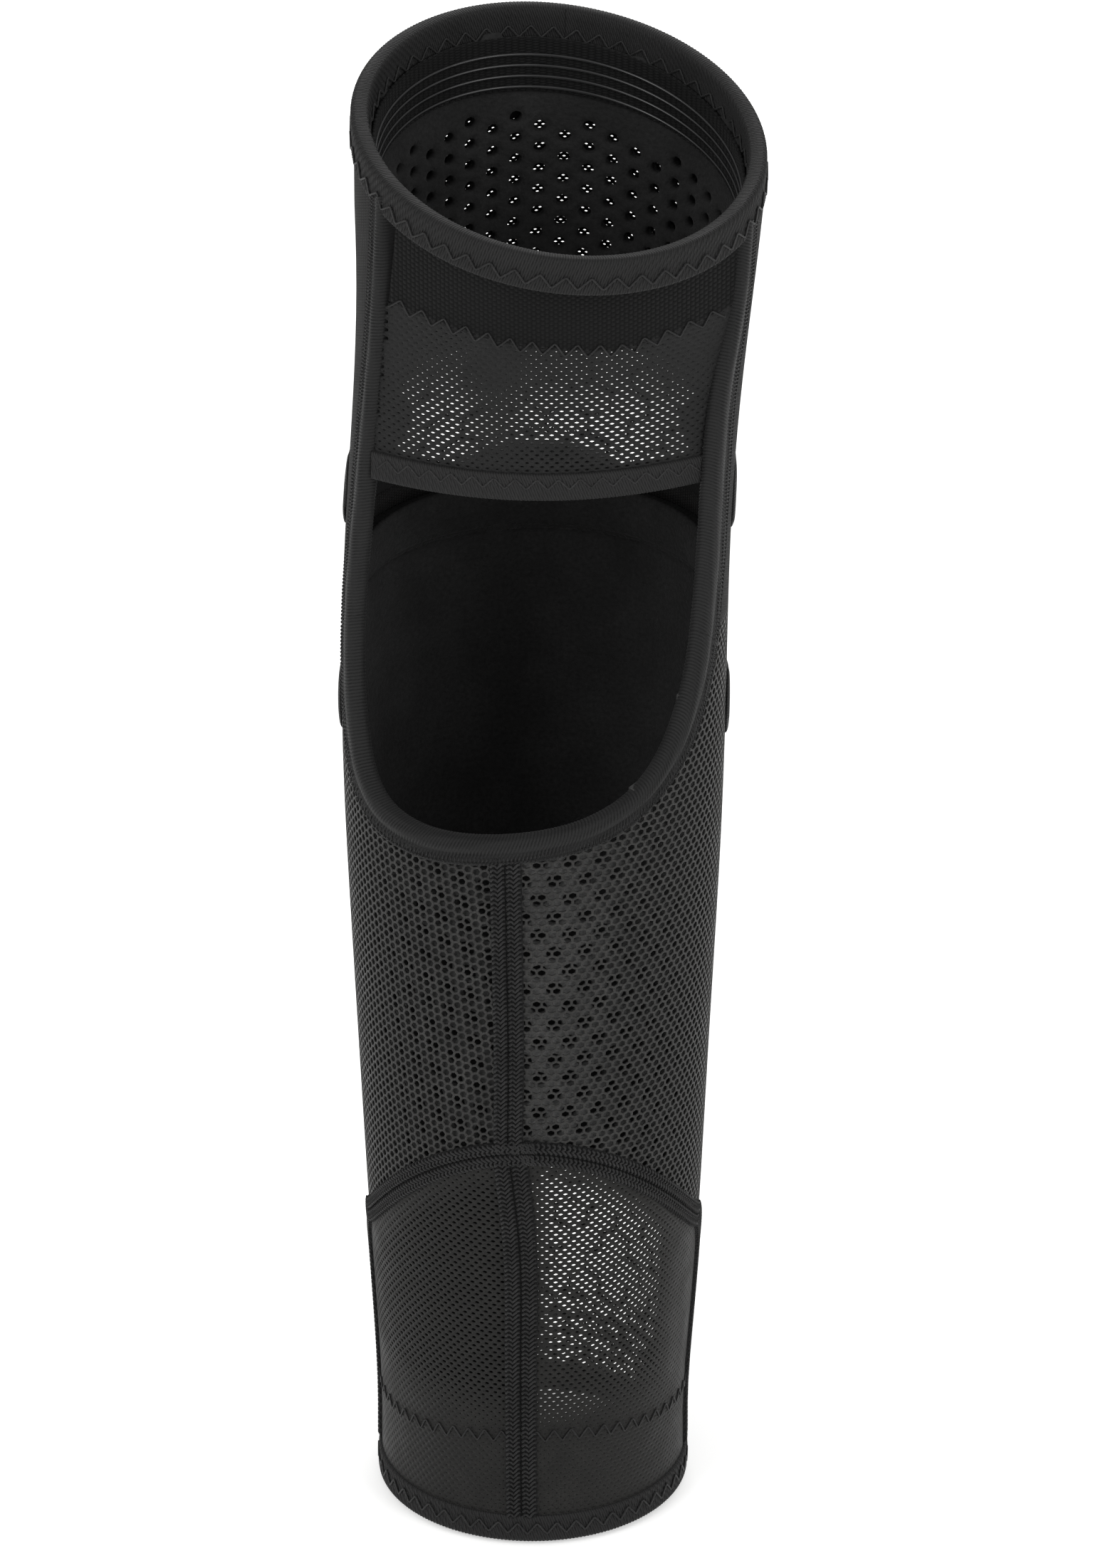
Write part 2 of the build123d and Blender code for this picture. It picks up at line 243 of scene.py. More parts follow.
MIDDLE_EDGE = even_line((np.array(EDGE) + np.array(EDGE_BINDING)) / 2, 4.0)


def in_opening(u, v):
    """Whether a place on the sleeve is inside the opening behind the knee."""
    place = sleeve(u, v) / MM
    return (place[..., 1] < 0) & inside_line(place[..., 0], v, MIDDLE_EDGE)


def arch_height(u, margin=0.0):
    """The height of the arch over the lower mesh, moved out by a margin."""
    x = np.clip(np.sin(u / RADIUS) * ARCH_SCALE / (ARCH_HALF_WIDTH + margin), -1, 1)
    return ARCH_BASE + (ARCH_TOP - ARCH_BASE + margin) * np.sqrt(1 - x * x)


def front_span(margin=0):
    """The values of u between which the front lies, moved out by a margin."""
    return QUARTER - margin, 3 * QUARTER + margin


def in_window(u, margin=0.0):
    """Whether a place on the lower front is as far across as the window."""
    x = np.sin(u / RADIUS) * FRONT_SCALE
    return (x > WINDOW[0] - margin) & (x < WINDOW[1] + margin)


def rear_edge(v, side):
    """The u of the opening's side edge at each height: side -1 left, 1 right."""
    lowest = np.argmin(MIDDLE_EDGE[:, 1])
    half = MIDDLE_EDGE[:lowest] if side < 0 else MIDDLE_EDGE[lowest:]
    order = np.argsort(half[:, 1])
    return around(np.interp(v, half[order, 1], half[order, 0]), v)


# ---- the elastic band behind
def fit_band():
    """The band's outer face as y over x and z, from the CAD band."""
    tree = tree_of(["band_mesh", "band_yoke"])
    rows, values = [], []
    for z in np.linspace(368, 428, 13):
        for x in np.linspace(-40, 52, 24):
            hit = tree.ray_cast(Vector((x * MM, -1, z * MM)), Vector((0, 1, 0)))[0]
            if hit:
                s, t = x / 50, (z - 400) / 40
                rows.append((1, s, s * s, t, s * t, s * s * t))
                values.append(hit.y / MM)
    return np.linalg.lstsq(np.array(rows), np.array(values), rcond=None)[0]


BAND_FIT = fit_band()


def band(u, v, depth=0.0):
    """Points in metres on the band, `depth` mm in front of its outer face."""
    s, t = np.asarray(u) / 50, (np.asarray(v) - 400) / 40
    terms = (1, s, s * s, t, s * t, s * s * t)
    y = sum(k * term for k, term in zip(BAND_FIT, terms))
    return np.stack((u + 0 * y, y + depth, v + 0 * y), -1) * MM


def band_out(u, v):
    """The band's outward direction."""
    across = band(u + 1.0, v) - band(u - 1.0, v)
    up = band(u, v + 1.0) - band(u, v - 1.0)
    out = np.cross(across, up)
    return out / np.linalg.norm(out, axis=-1, keepdims=True)


def band_end(v, ends):
    """The x of one end of the band at a height."""
    (z0, x0), (z1, x1) = ends
    return x0 + (x1 - x0) * (v - z0) / (z1 - z0)


def yoke_height(x):
    """The height of the stitched line under the yoke."""
    line = np.array(YOKE_LINE, float)
    return np.interp(x, line[:, 0], line[:, 1])


def piece_name(name):
    """A name of its own for a piece that stands for a CAD node."""
    return "soft_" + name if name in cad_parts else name


def new_object(name, verts, face_sets, cloth=None):
    """A mesh object from points in metres and arrays of faces, with its flat cloth place in mm."""
    name = piece_name(name)
    mesh = bpy.data.meshes.new(name)
    face_sets = [np.asarray(f) for f in face_sets if len(f)]
    loops = np.concatenate([f.ravel() for f in face_sets])
    sizes = np.concatenate([np.full(len(f), f.shape[1]) for f in face_sets])
    mesh.vertices.add(len(verts))
    mesh.vertices.foreach_set("co", np.asarray(verts, np.float32).ravel())
    mesh.loops.add(len(loops))
    mesh.loops.foreach_set("vertex_index", loops.astype(np.int32))
    mesh.polygons.add(len(sizes))
    mesh.polygons.foreach_set("loop_start", np.concatenate(([0], np.cumsum(sizes)[:-1])).astype(np.int32))
    mesh.update(calc_edges=True)
    mesh.validate()
    mesh.polygons.foreach_set("use_smooth", np.full(len(mesh.polygons), True))
    if cloth is not None:
        place = mesh.attributes.new("cloth", "FLOAT_VECTOR", "POINT")
        flat = np.zeros((len(mesh.vertices), 3), np.float32)
        flat[: len(cloth), : cloth.shape[1]] = cloth
        place.data.foreach_set("vector", flat.ravel())
    obj = bpy.data.objects.new(name, mesh)
    bpy.context.collection.objects.link(obj)
    return obj


def thick(name, flat, face_sets, surface, layer):
    """A cloth of two faces, between a layer's two depths, closed round every edge."""
    count = len(flat)
    outer = surface(flat[:, 0], flat[:, 1], layer[0])
    inner = surface(flat[:, 0], flat[:, 1], layer[1])
    pairs = np.vstack([np.stack((f, np.roll(f, -1, axis=1)), -1).reshape(-1, 2) for f in face_sets if len(f)])
    key = pairs.min(1).astype(np.int64) * count + pairs.max(1)
    _, index, uses = np.unique(key, return_index=True, return_counts=True)
    rim = pairs[index[uses == 1]]
    sides = np.stack((rim[:, 1], rim[:, 0], rim[:, 0] + count, rim[:, 1] + count), -1)
    sets = list(face_sets) + [f[:, ::-1] + count for f in face_sets if len(f)] + [sides]
    obj = new_object(name, np.vstack((outer, inner)), sets, np.vstack((flat, flat)))
    return obj


def quad_grid(u, v):
    """Flat places from two arrays, rows by columns, and the faces between them."""
    index = np.arange(u.size).reshape(u.shape)
    quads = np.stack((index[:-1, :-1], index[:-1, 1:], index[1:, 1:], index[1:, :-1]), -1).reshape(-1, 4)
    return np.stack((u.ravel(), v.ravel()), -1), quads


def grid(name, u, v, surface, layer):
    """A plain cloth from two arrays of places, rows by columns."""
    flat, quads = quad_grid(u, v)
    return thick(name, flat, [quads], surface, layer)


def between(left, right, low, high, step=2.5):
    """Places between two values of u and two heights, at even steps, rows by columns."""
    rows = max(3, int((high - low) / step) + 1)
    columns = max(3, int((right - left) / step) + 1)
    u, v = np.meshgrid(np.linspace(left, right, columns), np.linspace(low, high, rows))
    return u, v


def lattice(spans, cell, inside=None, turn=0.0, corners=6, fade=None):
    """Open cloth: staggered cells, each with a hole that `fade` may shrink. Returns flat places and faces."""
    (u0, u1), (v0, v1) = spans
    pitch, row, hole = cell
    middle = np.array(((u0 + u1) / 2, (v0 + v1) / 2))
    reach = math.hypot(u1 - u0, v1 - v0) / 2 + pitch if turn else None
    half_u = reach or (u1 - u0) / 2
    half_v = reach or (v1 - v0) / 2
    columns = np.arange(-int(half_u / pitch) - 1, int(half_u / pitch) + 2)
    rows = np.arange(-int(half_v / row) - 1, int(half_v / row) + 2)
    i, j = np.meshgrid(columns, rows)
    centres = np.stack(((i + 0.5 * (j % 2)) * pitch, j * row), -1).reshape(-1, 2)
    c, s = math.cos(turn), math.sin(turn)
    spin = np.array(((c, -s), (s, c)))
    placed = centres @ spin.T + middle
    keep = (placed[:, 0] >= u0) & (placed[:, 0] <= u1) & (placed[:, 1] >= v0) & (placed[:, 1] <= v1)
    if inside:
        keep &= inside(placed[:, 0], placed[:, 1])
    centres, placed = centres[keep], placed[keep]
    t, b = row * 0.66, row * 0.34
    ring = np.array(((pitch / 2, -b), (pitch / 2, b), (0, t), (-pitch / 2, b), (-pitch / 2, -b), (0, -t)))
    if corners == 12:
        ring = np.stack((ring, (ring + np.roll(ring, -1, axis=0)) / 2), 1).reshape(-1, 2)
    size = len(ring)
    if np.isscalar(hole):
        edge_hole = ring * hole
    else:
        edge_hole = ring / np.hypot(ring[:, 0] / hole[0], ring[:, 1] / hole[1])[:, None] / 2
    share = np.ones(len(centres)) if fade is None else np.clip(fade(placed[:, 0], placed[:, 1]), 0, 1)
    outer = (centres[:, None] + ring[None]).reshape(-1, 2)
    key = np.round(outer * 1000).astype(np.int64)
    _, first, back = np.unique(key, axis=0, return_index=True, return_inverse=True)
    back = back.reshape(-1, size)
    shared = outer[first]
    open_cell = share > 0.18
    holes = (centres[open_cell][:, None] + edge_hole[None] * share[open_cell][:, None, None]).reshape(-1, 2)
    index = len(shared) + np.arange(len(holes)).reshape(-1, size)
    rim = back[open_cell]
    quads = np.stack((rim, np.roll(rim, -1, 1), np.roll(index, -1, 1), index), -1).reshape(-1, 4)
    flat = np.vstack((shared, holes)) @ spin.T + middle
    return flat, [quads, back[~open_cell]]


def tubes(name, lines, radius, sides):
    """Round threads along lines of points in metres, closed at both ends."""
    verts, quads, caps, base = [], [], [], 0
    turn = np.linspace(0, 2 * math.pi, sides, endpoint=False)
    for points, out in lines:
        points = np.asarray(points)
        tangent = np.gradient(points, axis=0)
        tangent /= np.linalg.norm(tangent, axis=1, keepdims=True) + 1e-12
        side = np.cross(tangent, out)
        side /= np.linalg.norm(side, axis=1, keepdims=True) + 1e-12
        up = np.cross(side, tangent)
        ring = side[:, None] * np.cos(turn)[None, :, None] + up[:, None] * np.sin(turn)[None, :, None]
        verts.append((points[:, None] + ring * radius * MM).reshape(-1, 3))
        index = base + np.arange(len(points) * sides).reshape(-1, sides)
        a, b = index[:-1], index[1:]
        quads.append(np.stack((a, np.roll(a, -1, 1), np.roll(b, -1, 1), b), -1).reshape(-1, 4))
        caps += [index[0][::-1], index[-1]]
        base += len(points) * sides
    return new_object(name, np.vstack(verts), [np.vstack(quads), np.array(caps)])


def sweep(name, inner_line, outer_line, out, profile, closed=False, ripple=0.0, pitch=1.1, slant=0.6):
    """A tape along two lines. Its profile is (share of the width, height in mm), all the way round."""
    inner_line, outer_line = np.asarray(inner_line), np.asarray(outer_line)
    profile = np.array(profile, float)
    middle = (inner_line + outer_line) / 2
    steps = np.linalg.norm(np.diff(middle, axis=0), axis=1)
    along = np.concatenate(([0], np.cumsum(steps))) / MM
    share = profile[None, :, 0]
    height = np.repeat(profile[None, :, 1], len(middle), 0)
    if ripple:
        waves = pitch if not closed else (along[-1] + steps.mean() / MM) / round(along[-1] / pitch)
        wave = np.sin(2 * math.pi * (along[:, None] / waves + slant * share))
        height = height + ripple * wave * np.sign(height + 1.2)
    verts = inner_line[:, None] * (1 - share[..., None]) + outer_line[:, None] * share[..., None]
    verts = verts + out[:, None] * height[..., None] * MM
    size, count = len(profile), len(middle)
    index = np.arange(count * size).reshape(count, size)
    a = index if closed else index[:-1]
    b = np.roll(index, -1, 0) if closed else index[1:]
    quads = np.stack((a, np.roll(a, -1, 1), np.roll(b, -1, 1), b), -1).reshape(-1, 4)
    sets = [quads]
    if not closed:
        sets += [index[:1, ::-1], index[-1:]]
    width = np.linalg.norm(outer_line - inner_line, axis=1)[:, None] / MM
    turned = np.cumsum(np.hypot(*np.diff(np.vstack((profile[-1:], profile)), axis=0).T * [[7], [1]]))
    cloth = np.stack((along[:, None] + 0 * share, share * width, turned[None] + 0 * width), -1).reshape(-1, 3)
    obj = new_object(name, verts.reshape(-1, 3), sets, cloth)
    face_out(obj)
    return obj


def face_out(obj):
    """Turns every face of a closed mesh outwards."""
    work = bmesh.new()
    work.from_mesh(obj.data)
    bmesh.ops.recalc_face_normals(work, faces=work.faces)
    work.to_mesh(obj.data)
    work.free()


# ---- what a piece rides on and stands for
def on_body(obj, body, slot, material, *nodes):
    """Rides a piece on one body, with its material and the CAD nodes it stands for. The slot is not used."""
    dress(obj, material)
    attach(obj, body)
    if nodes:
        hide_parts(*nodes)


def on_fold(obj, upper, slot, material, *nodes):
    """Gives a piece its material, works its place into its mesh and hides the CAD nodes it stands for. Upper
    and other pieces are treated alike. The slot is not used.
    """
    dress(obj, material)
    if upper:
        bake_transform(obj)
    else:
        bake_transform(obj)
    if nodes:
        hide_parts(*nodes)


def dress(obj, material):
    """Gives a piece its material."""
    obj.data.materials.clear()
    obj.data.materials.append(material)


# ---- materials
class Paint:
    """A node material built step by step on the standard shader."""

    def __init__(self, name, colour, roughness, sheen=0.0, specular=0.3):
        self.material = bpy.data.materials.new(name)
        self.material.use_nodes = True
        self.tree = self.material.node_tree
        self.shader = self.tree.nodes["Principled BSDF"]
        self.shader.inputs["Base Color"].default_value = (*colour, 1)
        self.shader.inputs["Roughness"].default_value = roughness
        self.shader.inputs["Specular IOR Level"].default_value = specular
        if sheen:
            self.shader.inputs["Sheen Weight"].default_value = sheen
            self.shader.inputs["Sheen Roughness"].default_value = 0.45
        self.colour = colour
        self.roughness = roughness
        self.height = None

    def add(self, kind, inputs=None, **settings):
        node = self.tree.nodes.new("ShaderNode" + kind)
        for key, value in settings.items():
            setattr(node, key, value)
        for key, value in (inputs or {}).items():
            if isinstance(value, bpy.types.NodeSocket):
                self.tree.links.new(value, node.inputs[key])
            else:
                node.inputs[key].default_value = value
        return node

    def place(self, cloth=True):
        """The cloth's own flat place in mm, or the object's place in mm."""
        if cloth:
            return self.add("Attribute", attribute_name="cloth").outputs["Vector"]
        source = self.add("TexCoord").outputs["Object"]
        return self.add("VectorMath", {0: source, 1: (1000, 1000, 1000)}, operation="MULTIPLY").outputs[0]

    def noise(self, place, size, detail=2.0):
        """Soft random patches, `size` mm across."""
        scaled = self.add("VectorMath", {0: place, 1: (1 / size,) * 3}, operation="MULTIPLY")
        inputs = {"Vector": scaled.outputs[0], "Scale": 1.0, "Detail": detail}
        return self.add("TexNoise", inputs).outputs["Fac"]

    def maths(self, operation, a, b=0.0):
        return self.add("Math", {0: a, 1: b}, operation=operation).outputs[0]

    def mixed(self, a, share, b):
        """Two heights added up, the first one with its share."""
        return self.maths("ADD", self.maths("MULTIPLY", a, share), self.maths("MULTIPLY", b, 1 - share))

    def patchy(self, shade, patches, least, most):
        """A shade that soft patches make weaker or stronger."""
        return self.maths("MULTIPLY", shade, self.ramp(patches, 0.3, 0.7, least, most))

    def woven(self, loops, share, fuzz, patches, shade, tint, spread, depths):
        """A woven face's colour, roughness and relief, from its loops, its fuzz and soft patches."""
        self.tint(self.patchy(self.mixed(loops, share, fuzz), patches, *shade), *tint)
        self.rough(patches, spread)
        self.relief(loops, depths[0])
        self.relief(fuzz, depths[1])
        return self.material

    def ramp(self, value, low, high, to_low=0.0, to_high=1.0):
        inputs = {"Value": value, "From Min": low, "From Max": high, "To Min": to_low, "To Max": to_high}
        return self.add("MapRange", inputs).outputs["Result"]

    def waves(self, place, pitch_u, pitch_v):
        """Rounded stitches in staggered columns: a height from 0 to 1."""
        split = self.add("SeparateXYZ", {"Vector": place})
        u = self.maths("DIVIDE", split.outputs["X"], pitch_u)
        v = self.maths("DIVIDE", split.outputs["Y"], pitch_v)
        column = self.maths("FLOOR", u)
        shifted = self.maths("ADD", v, self.maths("MULTIPLY", column, 0.5))
        over = self.maths("ABSOLUTE", self.maths("SINE", self.maths("MULTIPLY", u, math.pi)))
        along = self.maths("ABSOLUTE", self.maths("SINE", self.maths("MULTIPLY", shifted, math.pi)))
        return self.maths("MULTIPLY", over, along)

    def tint(self, value, low, high):
        """Base colour from a value of 0 to 1 between two brightnesses of the base."""
        a = tuple(c * low for c in self.colour) + (1,)
        b = tuple(c * high for c in self.colour) + (1,)
        mix = self.add("Mix", {0: value, 6: a, 7: b}, data_type="RGBA")
        self.tree.links.new(mix.outputs[2], self.shader.inputs["Base Color"])

    def rough(self, value, spread):
        """Roughness that a value of 0 to 1 moves to both sides."""
        low, high = self.roughness - spread, min(1.0, self.roughness + spread)
        result = self.ramp(value, 0.25, 0.75, low, high)
        self.tree.links.new(result, self.shader.inputs["Roughness"])

    def relief(self, value, depth):
        """Adds a height, in mm, to the surface."""
        inputs = {"Height": value, "Distance": depth * MM, "Strength": 1.0}
        if self.height is not None:
            inputs["Normal"] = self.height
        self.height = self.add("Bump", inputs).outputs["Normal"]
        self.tree.links.new(self.height, self.shader.inputs["Normal"])


def knit_paint(name, colour, pitch=(1.1, 0.9), depth=0.25):
    """Machine knit: small staggered loops, soft patches and a little fuzz."""
    paint = Paint(name, colour, 0.8, 0.03, specular=0.12)
    place = paint.place()
    loops = paint.waves(place, *pitch)
    patches = paint.noise(place, 22.0, 3.0)
    fuzz = paint.noise(place, 0.5)
    return paint.woven(loops, 0.6, fuzz, patches, (0.75, 1.1), (0.2, 2.4), 0.08, (depth, 0.08))


def thread_paint(name, colour, roughness=0.6, sheen=0.03):
    """Plied yarn: fine strands and uneven colour."""
    paint = Paint(name, colour, roughness, sheen, specular=0.14)
    place = paint.place(cloth=False)
    strands = paint.noise(place, 0.45, 1.0)
    patches = paint.noise(place, 9.0)
    paint.tint(paint.patchy(strands, patches, 0.7, 1.3), 0.2, 2.6)
    paint.rough(patches, 0.1)
    paint.relief(strands, 0.12)
    return paint.material


def tape_paint(name, colour, rib=0.8):
    """Elastic tape: fine ribs across it, a soft shine and soft patches."""
    paint = Paint(name, colour, 0.6, 0.03, specular=0.14)
    place = paint.place()
    split = paint.add("SeparateXYZ", {"Vector": place})
    lean = paint.maths("MULTIPLY", split.outputs["Y"], 0.35)
    phase = paint.maths("DIVIDE", paint.maths("ADD", split.outputs["X"], lean), rib)
    ribs = paint.maths("ABSOLUTE", paint.maths("SINE", paint.maths("MULTIPLY", phase, math.pi)))
    patches = paint.noise(place, 14.0, 3.0)
    fuzz = paint.noise(place, 0.45)
    return paint.woven(ribs, 0.5, fuzz, patches, (0.85, 1.15), (0.2, 2.1), 0.08, (0.16, 0.07))


def foam_paint(name, colour):
    """Foam: small cells and a dull face, with a painted highlight beside the seam on the right, where light
    glints off the foam.
    """
    paint = Paint(name, colour, 0.8, 0.02, specular=0.12)
    place = paint.place(cloth=False)
    cells = paint.noise(place, 0.7, 2.0)
    patches = paint.noise(place, 12.0, 2.0)
    across = paint.add("SeparateXYZ", {"Vector": paint.place()}).outputs["X"]
    # Painted highlight: a strip right of the back seam, from u -4 to 34 mm, is made paler to stand in for light
    # glinting off the foam. It is added to the random patches that tint the foam.
    painted_glint = paint.maths("MULTIPLY", paint.ramp(across, -4.0, -2.0), paint.ramp(across, 34.0, 6.0))
    patches = paint.maths("ADD", patches, paint.maths("MULTIPLY", painted_glint, 1.9))
    paint.tint(paint.maths("MULTIPLY", cells, paint.maths("MULTIPLY", patches, 0.8)), 0.6, 4.0)
    paint.rough(cells, 0.06)
    paint.relief(cells, 0.15)
    return paint.material


def terry_paint(name, colour):
    """Looped lining: soft uneven loops."""
    paint = Paint(name, colour, 0.95, 0.03, specular=0.06)
    place = paint.place()
    loops = paint.noise(place, 1.5, 1.0)
    fine = paint.noise(place, 0.5)
    patches = paint.noise(place, 18.0, 3.0)
    return paint.woven(loops, 0.6, fine, patches, (0.7, 1.3), (0.5, 1.6), 0.04, (0.5, 0.15))


def silicone_paint(name, colour):
    """Silicone: smooth, slightly cloudy and shiny."""
    paint = Paint(name, colour, 0.35, 0.0, specular=0.5)
    place = paint.place(cloth=False)
    cloud = paint.noise(place, 6.0, 3.0)
    paint.tint(cloud, 0.7, 1.3)
    paint.rough(cloud, 0.1)
    paint.relief(cloud, 0.1)
    return paint.material


def cover_paint(name, colour):
    """Pad cover: a tight woven face with rubbed patches."""
    paint = Paint(name, colour, 0.6, 0.03, specular=0.16)
    place = paint.place(cloth=False)
    split = paint.add("SeparateXYZ", {"Vector": place})
    flat = paint.add("CombineXYZ", {"X": split.outputs["X"], "Y": split.outputs["Z"]}).outputs[0]
    weave = paint.waves(flat, 0.9, 0.9)
    fuzz = paint.noise(place, 0.6)
    wear = paint.noise(place, 16.0, 4.0)
    return paint.woven(weave, 0.6, fuzz, wear, (0.75, 1.25), (0.6, 1.5), 0.1, (0.2, 0.06))


def floor_paint(name):
    """The pale floor."""
    paint = Paint(name, (0.86, 0.86, 0.855), 0.9, 0.0, specular=0.1)
    place = paint.place(cloth=False)
    grain = paint.noise(place, 60.0, 2.0)
    paint.tint(grain, 0.99, 1.01)
    paint.shader.inputs["Emission Color"].default_value = (1, 1, 0.995, 1)
    paint.shader.inputs["Emission Strength"].default_value = 0.38
    return paint.material


KNIT_BLACK = knit_paint("outer_knit", (0.0085, 0.0083, 0.0082))
YOKE_BLACK = knit_paint("yoke_knit", (0.0031, 0.0031, 0.0031), pitch=(1.3, 1.6), depth=0.35)
CALF_THREAD = thread_paint("calf_mesh_thread", (0.0164, 0.0161, 0.0155), roughness=0.5)
FINE_THREAD = thread_paint("fine_mesh_thread", (0.0060, 0.0060, 0.0060))
LOWER_THREAD = thread_paint("lower_mesh_thread", (0.0071, 0.0069, 0.0065))
FOAM_BLACK = foam_paint("foam_black", (0.0312, 0.0312, 0.0309))
LINING_BLACK = terry_paint("lining_black", (0.0178, 0.0178, 0.0178))
TAPE_BLACK = tape_paint("binding_tape", (0.0101, 0.0100, 0.0100))
ROLL_BLACK = tape_paint("opening_tape", (0.0086, 0.0086, 0.0086), rib=1.1)
SEAM_BLACK = knit_paint("seam_knit", (0.0055, 0.0055, 0.0056), pitch=(1.6, 1.2), depth=0.4)
STITCH_BLACK = thread_paint("stitch_thread", (0.0115, 0.0114, 0.0114), roughness=0.5, sheen=0.04)
GRIPPER_BLACK = knit_paint("gripper_elastic", (0.0046, 0.0046, 0.0046), pitch=(2.2, 0.9), depth=0.3)
SILICONE_BLACK = silicone_paint("silicone_black", (0.0054, 0.0054, 0.0056))
COVER_BLACK = cover_paint("pad_cover", (0.0113, 0.0113, 0.0113))


# ---- panels of the shin
def lower_mesh():
    """The fine mesh of the ankle: two panels behind, a dark sheet of lining cloth behind the left one that
    stands in for shade, and one in front.
    """
    seam = sum(SEAM_LOWER) / 2
    low, high = HEM_HEIGHT - 3, ARCH_TOP + 3

    def fade(u, v):
        """Smaller holes near the arch and the cuff, and at both sides of the right panel."""
        inner = (arch_height(u) - v + 8) / 18
        cuff = (v - CUFF_TOP + 4) / 24
        beside = np.where(u > seam, np.minimum(u - seam + 4, 66 - u) / 16, 1)
        return np.clip(np.minimum(np.minimum(inner, cuff), beside), 0.34, 1.0)

    for side, left, right in (("left", -QUARTER, seam), ("right", seam, QUARTER)):
        spans = ((left, right), (low, high))
        pattern = lattice(spans, FINE_NETS[side], lambda u, v: v < arch_height(u, 3.0), fade=fade)
        panel = thick(f"lower_mesh_{side}", *pattern, sleeve, (0.1, 0.65))
        on_body(panel, "shin", "fine_mesh", LOWER_THREAD, f"lower_mesh_{side}")
    # Painted shade: a dark sheet of lining cloth behind the left panel only. It keeps the pale floor inside
    # from showing through there, as shade would.
    u, v = between(-QUARTER - 1, seam, HEM_HEIGHT, ARCH_TOP + 2)
    shade_sheet = grid("lower_left_shade_sheet", u, np.minimum(v, arch_height(u, 2.0)), sleeve, (1.5, 2.1))
    on_body(shade_sheet, "shin", "lining", LINING_BLACK)
    spans = (front_span(1), (low - 2, FRONT_MESH_TOP + 8))
    pattern = lattice(spans, FRONT_NET, fade=lambda u, v: np.where(in_window(u, 3), 1.0, 0.6))
    front = thick("lower_mesh_front", *pattern, sleeve, (0.1, 0.75))
    on_body(front, "shin", "fine_mesh", LOWER_THREAD, "lower_mesh_front")


def front_lining():
    """The lining behind the front mesh, with its arched window."""
    flat, quads = quad_grid(*between(*front_span(), CUFF_TOP, FRONT_MESH_TOP + 1, 1.5))
    place = sleeve(flat[:, 0], flat[:, 1], 1.5) / MM
    middle = sum(WINDOW) / 2
    half = (WINDOW[1] - WINDOW[0]) / 2
    top = WINDOW_HEIGHT - WINDOW_CORNER * (np.abs(place[:, 0] - middle) / half) ** 4
    open_place = (np.abs(place[:, 0] - middle) < half) & (place[:, 2] < top)
    quads = quads[~open_place[quads].all(1)]
    lining = thick("lower_front_lining", flat, [quads], sleeve, (1.5, 2.3))
    on_body(lining, "shin", "lining", LINING_BLACK, "lower_front_lining")


def calf_panels():
    """Open mesh over perforated foam behind the calf, on the two sides of the seam."""
    seam = sum(SEAM_UPPER) / 2

    def panel(u, v):
        return (v > arch_height(u, ARCH_WIDTH - 3)) & ~in_opening(u, v)

    # The foam runs a little way under the shin's knit at the side seam.
    shapes = (
        ("left", -QUARTER, seam, (-QUARTER - 4, seam), math.radians(42)),
        ("right", seam, QUARTER, (seam, QUARTER + 4), 0.0),
    )
    for side, left, right, under, turn in shapes:
        pattern = lattice(((left, right), (CALF_LOW, KNEE_Z)), CALF_NET, panel, turn)
        net = thick(f"calf_mesh_{side}", *pattern, sleeve, (0.0, 0.6))
        on_fold(net, False, "open_mesh", CALF_THREAD, f"calf_mesh_{side}")
        pattern = lattice((under, (CALF_LOW, KNEE_Z)), CALF_FOAM, panel, turn, corners=12)
        foam = thick(f"calf_foam_{side}", *pattern, sleeve, (1.5, 4.3))
        on_fold(foam, False, "foam", FOAM_BLACK, f"calf_foam_{side}")


def lined_sleeve(u, v, depth):
    """The sleeve for its linings, with the soft ridge of their dart on the inner face."""
    ridge = np.exp(-(((u - DART) / DART_WIDTH) ** 2)) * np.clip((v - DART_LOW) / DART_RISE, 0, 1)
    return sleeve(u, v, depth + ridge * (depth > 3))


def shin_front():
    """The plain knit over the shin and its foam lining, from the lower mesh to the folding line."""
    u, v = between(*front_span(), FRONT_MESH_TOP, KNEE_Z, 2.4)
    shell = grid("shin_shell", u, v, sleeve, (0.0, 1.2))
    on_fold(shell, False, "outer_knit", KNIT_BLACK, "shin_shell")
    u, v = between(*front_span(2), FRONT_MESH_TOP, KNEE_Z, 2.4)
    lining = grid("shin_lining", u, v, lined_sleeve, LINED)
    on_fold(lining, False, "lining", LINING_BLACK, "shin_foam", "shin_lining")


def binding(name, body, u, edge, other, profile):
    """A tape folded over an edge of the sleeve, all the way round."""
    lines = sleeve(u, edge, 0.2), sleeve(u, other, 0.2), sleeve_out(u, edge)
    tape = sweep(name, *lines, profile, closed=True, ripple=0.17, pitch=1.2)
    on_body(tape, body, "elastic_tape", TAPE_BLACK, name)


def ring_lines(u, heights, depth):
    """Lines round the sleeve, `depth` mm inside its outer face."""
    return [(sleeve(u, height, depth), sleeve_out(u, height)) for height in heights]


